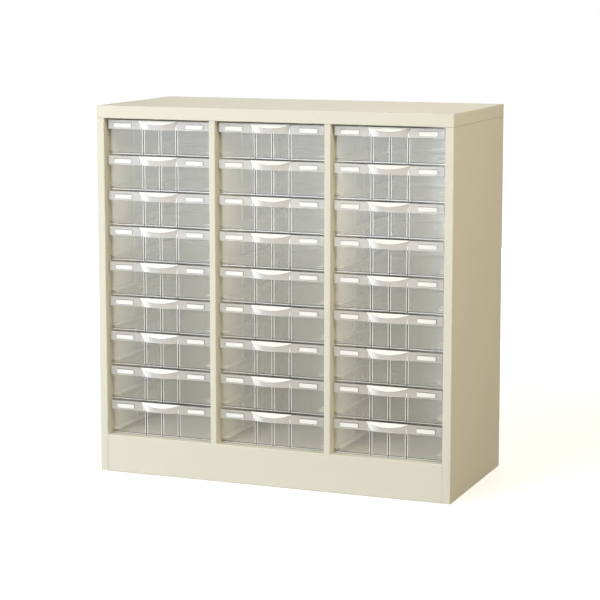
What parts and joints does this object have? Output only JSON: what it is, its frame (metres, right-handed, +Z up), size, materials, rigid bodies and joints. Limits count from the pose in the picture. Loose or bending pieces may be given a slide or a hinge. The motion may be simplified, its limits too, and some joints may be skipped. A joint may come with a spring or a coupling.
{
  "type": "drawer cabinet",
  "caption": "Low sheet steel floor cabinet with upright dividers and stacked clear plastic drawers that slide out on rails.",
  "frame": {"origin": "centre of the cabinet's footprint, on the floor", "axes": "+Z up, -Y out of the drawer fronts, +X to the right as one faces the drawers"},
  "size_m": [0.88, 0.4, 0.88],
  "materials": {
    "painted_steel": "satin ivory powder coat",
    "screw_steel": "zinc plated",
    "clear_plastic": "clear, smooth",
    "card_paper": "plain white card"
  },
  "bodies": {
    "cabinet": {"top_cap": "painted_steel", "top_stiffener": "painted_steel", "left_side_panel": "painted_steel", "right_side_panel": "painted_steel", "left_liner": "painted_steel", "right_liner": "painted_steel", "divider_1": "painted_steel", "divider_2": "painted_steel", "kick_plate": "painted_steel", "floor_panel": "painted_steel", "base_channels": "painted_steel", "back_panel": "painted_steel", "back_screws": "screw_steel", "rails_c1_left": "painted_steel", "rails_c1_right": "painted_steel", "rails_c2_left": "painted_steel", "rails_c2_right": "painted_steel", "rails_c3_left": "painted_steel", "rails_c3_right": "painted_steel"},
    "drawer_c1_r1": {"tray_c1_r1": "clear_plastic"},
    "drawer_c2_r1": {"tray_c2_r1": "clear_plastic"},
    "drawer_c3_r1": {"tray_c3_r1": "clear_plastic"},
    "drawer_c1_r2": {"tray_c1_r2": "clear_plastic"},
    "drawer_c2_r2": {"tray_c2_r2": "clear_plastic"},
    "drawer_c3_r2": {"tray_c3_r2": "clear_plastic"},
    "drawer_c1_r3": {"tray_c1_r3": "clear_plastic"},
    "drawer_c2_r3": {"tray_c2_r3": "clear_plastic"},
    "drawer_c3_r3": {"tray_c3_r3": "clear_plastic"},
    "drawer_c1_r4": {"tray_c1_r4": "clear_plastic"},
    "drawer_c2_r4": {"tray_c2_r4": "clear_plastic"},
    "drawer_c3_r4": {"tray_c3_r4": "clear_plastic"},
    "drawer_c1_r5": {"tray_c1_r5": "clear_plastic"},
    "drawer_c2_r5": {"tray_c2_r5": "clear_plastic"},
    "drawer_c3_r5": {"tray_c3_r5": "clear_plastic"},
    "drawer_c1_r6": {"tray_c1_r6": "clear_plastic"},
    "drawer_c2_r6": {"tray_c2_r6": "clear_plastic"},
    "drawer_c3_r6": {"tray_c3_r6": "clear_plastic"},
    "drawer_c1_r7": {"tray_c1_r7": "clear_plastic"},
    "drawer_c2_r7": {"tray_c2_r7": "clear_plastic"},
    "drawer_c3_r7": {"tray_c3_r7": "clear_plastic"},
    "drawer_c1_r8": {"tray_c1_r8": "clear_plastic"},
    "drawer_c2_r8": {"tray_c2_r8": "clear_plastic"},
    "drawer_c3_r8": {"tray_c3_r8": "clear_plastic"},
    "drawer_c1_r9": {"tray_c1_r9": "clear_plastic"},
    "drawer_c2_r9": {"tray_c2_r9": "clear_plastic"},
    "drawer_c3_r9": {"tray_c3_r9": "clear_plastic"}
  },
  "joints": [
    {"name": "slide_c1_r1", "type": "slide", "parent": "cabinet", "child": "drawer_c1_r1", "axis": [0, -1, 0], "range_m": [0, 0.25]},
    {"name": "slide_c2_r1", "type": "slide", "parent": "cabinet", "child": "drawer_c2_r1", "axis": [0, -1, 0], "range_m": [0, 0.25]},
    {"name": "slide_c3_r1", "type": "slide", "parent": "cabinet", "child": "drawer_c3_r1", "axis": [0, -1, 0], "range_m": [0, 0.25]},
    {"name": "slide_c1_r2", "type": "slide", "parent": "cabinet", "child": "drawer_c1_r2", "axis": [0, -1, 0], "range_m": [0, 0.25]},
    {"name": "slide_c2_r2", "type": "slide", "parent": "cabinet", "child": "drawer_c2_r2", "axis": [0, -1, 0], "range_m": [0, 0.25]},
    {"name": "slide_c3_r2", "type": "slide", "parent": "cabinet", "child": "drawer_c3_r2", "axis": [0, -1, 0], "range_m": [0, 0.25]},
    {"name": "slide_c1_r3", "type": "slide", "parent": "cabinet", "child": "drawer_c1_r3", "axis": [0, -1, 0], "range_m": [0, 0.25]},
    {"name": "slide_c2_r3", "type": "slide", "parent": "cabinet", "child": "drawer_c2_r3", "axis": [0, -1, 0], "range_m": [0, 0.25]},
    {"name": "slide_c3_r3", "type": "slide", "parent": "cabinet", "child": "drawer_c3_r3", "axis": [0, -1, 0], "range_m": [0, 0.25]},
    {"name": "slide_c1_r4", "type": "slide", "parent": "cabinet", "child": "drawer_c1_r4", "axis": [0, -1, 0], "range_m": [0, 0.25]},
    {"name": "slide_c2_r4", "type": "slide", "parent": "cabinet", "child": "drawer_c2_r4", "axis": [0, -1, 0], "range_m": [0, 0.25]},
    {"name": "slide_c3_r4", "type": "slide", "parent": "cabinet", "child": "drawer_c3_r4", "axis": [0, -1, 0], "range_m": [0, 0.25]},
    {"name": "slide_c1_r5", "type": "slide", "parent": "cabinet", "child": "drawer_c1_r5", "axis": [0, -1, 0], "range_m": [0, 0.25]},
    {"name": "slide_c2_r5", "type": "slide", "parent": "cabinet", "child": "drawer_c2_r5", "axis": [0, -1, 0], "range_m": [0, 0.25]},
    {"name": "slide_c3_r5", "type": "slide", "parent": "cabinet", "child": "drawer_c3_r5", "axis": [0, -1, 0], "range_m": [0, 0.25]},
    {"name": "slide_c1_r6", "type": "slide", "parent": "cabinet", "child": "drawer_c1_r6", "axis": [0, -1, 0], "range_m": [0, 0.25]},
    {"name": "slide_c2_r6", "type": "slide", "parent": "cabinet", "child": "drawer_c2_r6", "axis": [0, -1, 0], "range_m": [0, 0.25]},
    {"name": "slide_c3_r6", "type": "slide", "parent": "cabinet", "child": "drawer_c3_r6", "axis": [0, -1, 0], "range_m": [0, 0.25]},
    {"name": "slide_c1_r7", "type": "slide", "parent": "cabinet", "child": "drawer_c1_r7", "axis": [0, -1, 0], "range_m": [0, 0.25]},
    {"name": "slide_c2_r7", "type": "slide", "parent": "cabinet", "child": "drawer_c2_r7", "axis": [0, -1, 0], "range_m": [0, 0.25]},
    {"name": "slide_c3_r7", "type": "slide", "parent": "cabinet", "child": "drawer_c3_r7", "axis": [0, -1, 0], "range_m": [0, 0.25]},
    {"name": "slide_c1_r8", "type": "slide", "parent": "cabinet", "child": "drawer_c1_r8", "axis": [0, -1, 0], "range_m": [0, 0.25]},
    {"name": "slide_c2_r8", "type": "slide", "parent": "cabinet", "child": "drawer_c2_r8", "axis": [0, -1, 0], "range_m": [0, 0.25]},
    {"name": "slide_c3_r8", "type": "slide", "parent": "cabinet", "child": "drawer_c3_r8", "axis": [0, -1, 0], "range_m": [0, 0.25]},
    {"name": "slide_c1_r9", "type": "slide", "parent": "cabinet", "child": "drawer_c1_r9", "axis": [0, -1, 0], "range_m": [0, 0.25]},
    {"name": "slide_c2_r9", "type": "slide", "parent": "cabinet", "child": "drawer_c2_r9", "axis": [0, -1, 0], "range_m": [0, 0.25]},
    {"name": "slide_c3_r9", "type": "slide", "parent": "cabinet", "child": "drawer_c3_r9", "axis": [0, -1, 0], "range_m": [0, 0.25]}
  ]
}
